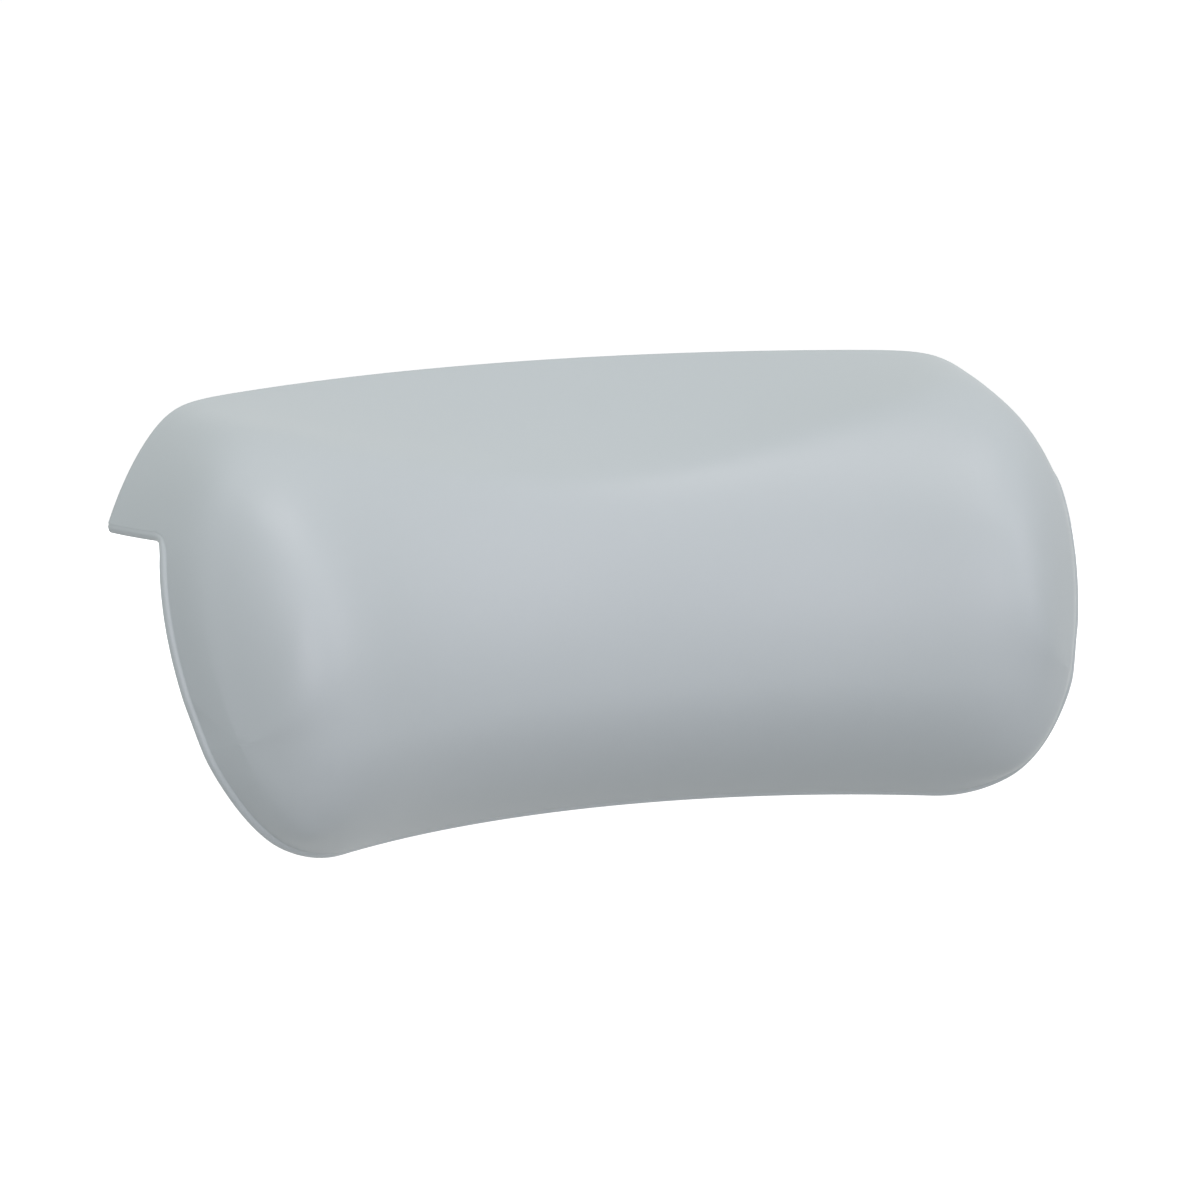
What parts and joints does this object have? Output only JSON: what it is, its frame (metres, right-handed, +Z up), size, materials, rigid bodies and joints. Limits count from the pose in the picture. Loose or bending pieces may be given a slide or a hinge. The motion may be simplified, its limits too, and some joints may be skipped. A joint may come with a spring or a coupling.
{
  "type": "bath pillow",
  "caption": "Curved soft neck rest that hooks over a bath rim, with a moulded skin over foam on a stiff back plate held to the wall by sliding suction cups.",
  "frame": {"origin": "middle of the rim grip's underside, where the hook rests on the bath's rim", "axes": "+Z up, -Y the front that the neck rests on, +X along the pillow to the right as seen from the front"},
  "size_m": [0.2968, 0.1255, 0.1249],
  "materials": {
    "skin": "smooth satin soft skin, light grey",
    "bead": "smooth satin, slightly lighter grey",
    "foam": "open-cell foam, cream",
    "plate": "fine moulded grain, mid grey",
    "grip": "matt, fine cross ribs",
    "cap": "matt moulded plastic",
    "cup": "clear soft plastic, glossy"
  },
  "bodies": {
    "pillow": {"outer_skin": "skin", "edge_bead": "bead", "foam_core": "foam", "carrier_plate": "plate", "rim_grip": "grip", "keyhole_cap_upper_left": "cap", "keyhole_cap_upper_right": "cap", "keyhole_cap_lower_left": "cap", "keyhole_cap_lower_right": "cap"},
    "cup_upper_left": {"suction_cup_upper_left": "cup"},
    "cup_upper_right": {"suction_cup_upper_right": "cup"},
    "cup_lower_left": {"suction_cup_lower_left": "cup"},
    "cup_lower_right": {"suction_cup_lower_right": "cup"}
  },
  "joints": [
    {"name": "slide_upper_left", "type": "slide", "parent": "pillow", "child": "cup_upper_left", "axis": [-0.1402, 0.3333, 0.9323], "range_m": [0, 0.009]},
    {"name": "slide_upper_right", "type": "slide", "parent": "pillow", "child": "cup_upper_right", "axis": [0.1402, 0.3333, 0.9323], "range_m": [0, 0.009]},
    {"name": "slide_lower_left", "type": "slide", "parent": "pillow", "child": "cup_lower_left", "axis": [-0.0613, 0.4592, 0.8862], "range_m": [0, 0.009]},
    {"name": "slide_lower_right", "type": "slide", "parent": "pillow", "child": "cup_lower_right", "axis": [0.0613, 0.4592, 0.8862], "range_m": [0, 0.009]}
  ]
}
